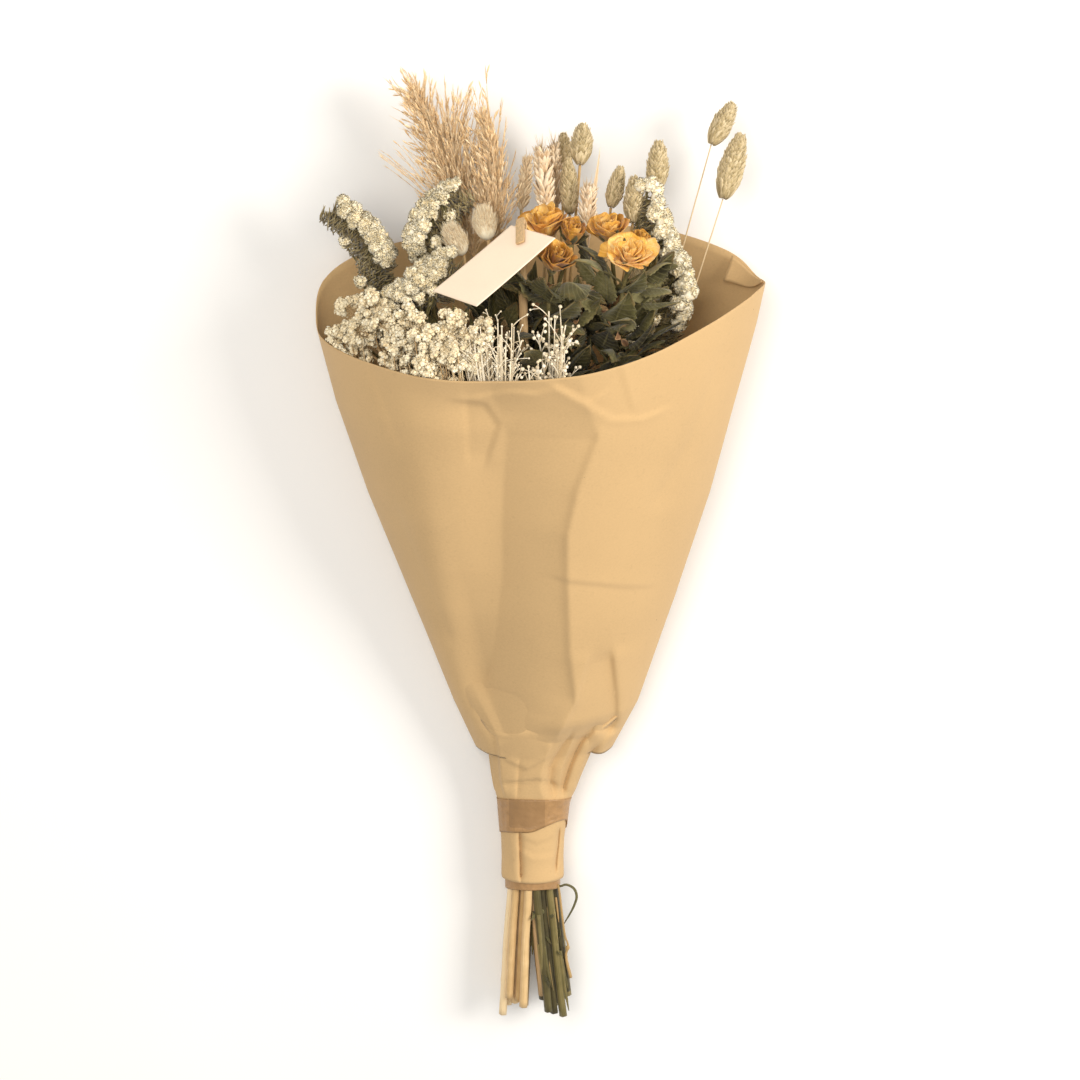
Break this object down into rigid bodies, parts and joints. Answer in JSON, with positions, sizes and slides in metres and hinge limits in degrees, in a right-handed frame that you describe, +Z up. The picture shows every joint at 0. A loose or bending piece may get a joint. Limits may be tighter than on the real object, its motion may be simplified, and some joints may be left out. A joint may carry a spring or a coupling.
{
  "type": "dried flower bouquet",
  "caption": "Mixed dried flower bouquet lying in a kraft paper cone wrap, bound at the neck, with cut stem ends below and a blank card on a wooden holder.",
  "frame": {"origin": "middle of the bouquet's footprint on the surface that it lies on", "axes": "+Y along the bouquet towards the flower heads, +Z up from the surface, +X to the right when it is seen from above with its heads pointing away"},
  "size_m": [0.2653, 0.6008, 0.1736],
  "materials": {
    "kraft_paper": "matt brown kraft paper with fine fibres",
    "tape": "smooth brown paper tape, slightly glossy",
    "rubber": "tan rubber band",
    "card_stock": "blank cream card",
    "stick_wood": "plain light wood",
    "rose_petal": "dried ochre rose petals",
    "rose_green": "dried grey-green leaves and stems",
    "canary": "dried pale green grass heads",
    "bunny": "soft cream hair",
    "wheat": "dried straw",
    "pampas": "feathery tan plume",
    "statice_cream": "papery cream florets",
    "statice_green": "dried brown-green branches",
    "broom_cream": "papery cream florets",
    "bud_white": "bleached stalks and buds"
  },
  "bodies": {
    "root": {"kraft_paper_wrap": "kraft_paper", "neck_tape": "tape", "stem_tape": "tape", "stem_band": "rubber", "card": "card_stock", "card_stick": "stick_wood", "rose_bloom_1": "rose_petal", "rose_bloom_2": "rose_petal", "rose_bloom_3": "rose_petal", "rose_bloom_4": "rose_petal", "rose_bloom_5": "rose_petal", "rose_bloom_6": "rose_petal", "rose_stem_1": "rose_green", "rose_stem_2": "rose_green", "rose_stem_3": "rose_green", "rose_stem_4": "rose_green", "leafy_stem": "rose_green", "canary_grass_1": "canary", "canary_grass_2": "canary", "canary_grass_3": "canary", "canary_grass_4": "canary", "canary_grass_5": "canary", "canary_grass_6": "canary", "canary_grass_7": "canary", "canary_grass_8": "canary", "canary_grass_9": "canary", "bunny_tail_1": "bunny", "bunny_tail_2": "bunny", "wheat_ear_1": "wheat", "wheat_ear_2": "wheat", "wheat_ear_3": "wheat", "reed_ear": "pampas", "pampas_plume_left": "pampas", "pampas_plume_right": "pampas", "statice_florets_1": "statice_cream", "statice_stem_1": "statice_green", "statice_florets_2": "statice_cream", "statice_stem_2": "statice_green", "statice_florets_3": "statice_cream", "statice_stem_3": "statice_green", "statice_florets_4": "statice_cream", "statice_stem_4": "statice_green", "broom_bloom_left": "broom_cream", "broom_bloom_right": "broom_cream", "white_bud_spray_left": "bud_white", "white_bud_spray_right": "bud_white"}
  },
  "joints": []
}
